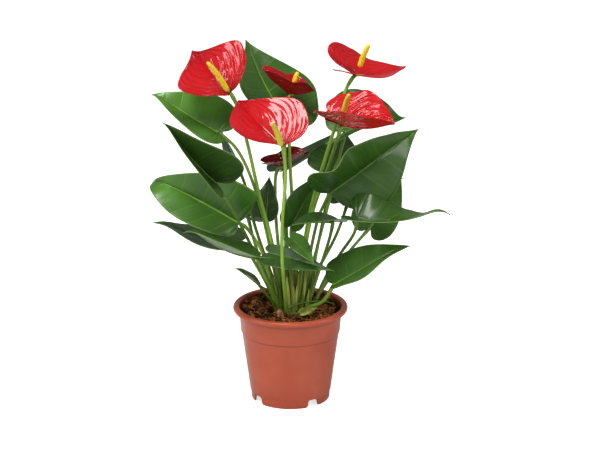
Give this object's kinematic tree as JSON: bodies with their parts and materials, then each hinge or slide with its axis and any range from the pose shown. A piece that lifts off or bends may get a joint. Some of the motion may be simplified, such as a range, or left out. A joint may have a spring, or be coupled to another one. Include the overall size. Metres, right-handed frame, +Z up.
{
  "type": "potted flowering plant",
  "caption": "Potted anthurium with glossy heart-shaped leaves and red flowers with yellow spadices, in a tapered plastic nursery pot with a rolled rim and notched foot",
  "frame": {"origin": "Middle of the footprint of the whole plant, at the level of the pot's foot", "axes": "+Z up, along the pot's axis; -Y is the plant's front, where most flowers face; +X is the plant's right seen from the front"},
  "size_m": [0.3032, 0.2072, 0.3801],
  "materials": {
    "pot_plastic": "satin",
    "potting_mix": "matte",
    "crown_skin": "matte",
    "leaf": "gloss",
    "stalk": "satin",
    "spathe": "gloss",
    "spadix": "matte"
  },
  "bodies": {
    "root": {"pot": "pot_plastic", "potting_mix": "potting_mix", "crown": "crown_skin", "leaf_01_blade": "leaf", "leaf_01_stalk": "stalk", "leaf_02_blade": "leaf", "leaf_02_stalk": "stalk", "leaf_03_blade": "leaf", "leaf_03_stalk": "stalk", "leaf_04_blade": "leaf", "leaf_04_stalk": "stalk", "leaf_05_blade": "leaf", "leaf_05_stalk": "stalk", "leaf_06": "leaf", "leaf_07": "leaf", "leaf_08": "leaf", "leaf_09_blade": "leaf", "leaf_09_stalk": "stalk", "leaf_10": "leaf", "leaf_11_blade": "leaf", "leaf_11_stalk": "stalk", "leaf_12_blade": "leaf", "leaf_12_stalk": "stalk", "leaf_13_blade": "leaf", "leaf_13_stalk": "stalk", "leaf_14_blade": "leaf", "leaf_14_stalk": "stalk", "leaf_15_blade": "leaf", "leaf_15_stalk": "stalk", "leaf_16_blade": "leaf", "leaf_16_stalk": "stalk", "leaf_17_blade": "leaf", "leaf_17_stalk": "stalk", "leaf_18_blade": "leaf", "leaf_18_stalk": "stalk", "leaf_19_blade": "leaf", "leaf_19_stalk": "stalk", "leaf_20_blade": "leaf", "leaf_20_stalk": "stalk", "leaf_21_blade": "leaf", "leaf_21_stalk": "stalk", "leaf_22_blade": "leaf", "leaf_22_stalk": "stalk", "flower_1_spathe": "spathe", "flower_1_stalk": "stalk", "flower_1_spadix": "spadix", "flower_2_spathe": "spathe", "flower_2_stalk": "stalk", "flower_2_spadix": "spadix", "flower_3_spathe": "spathe", "flower_3_stalk": "stalk", "flower_3_spadix": "spadix", "flower_4_spathe": "spathe", "flower_4_stalk": "stalk", "flower_4_spadix": "spadix", "flower_5_spathe": "spathe", "flower_5_stalk": "stalk", "flower_5_spadix": "spadix", "flower_6_spathe": "spathe", "flower_6_stalk": "stalk"}
  },
  "joints": []
}
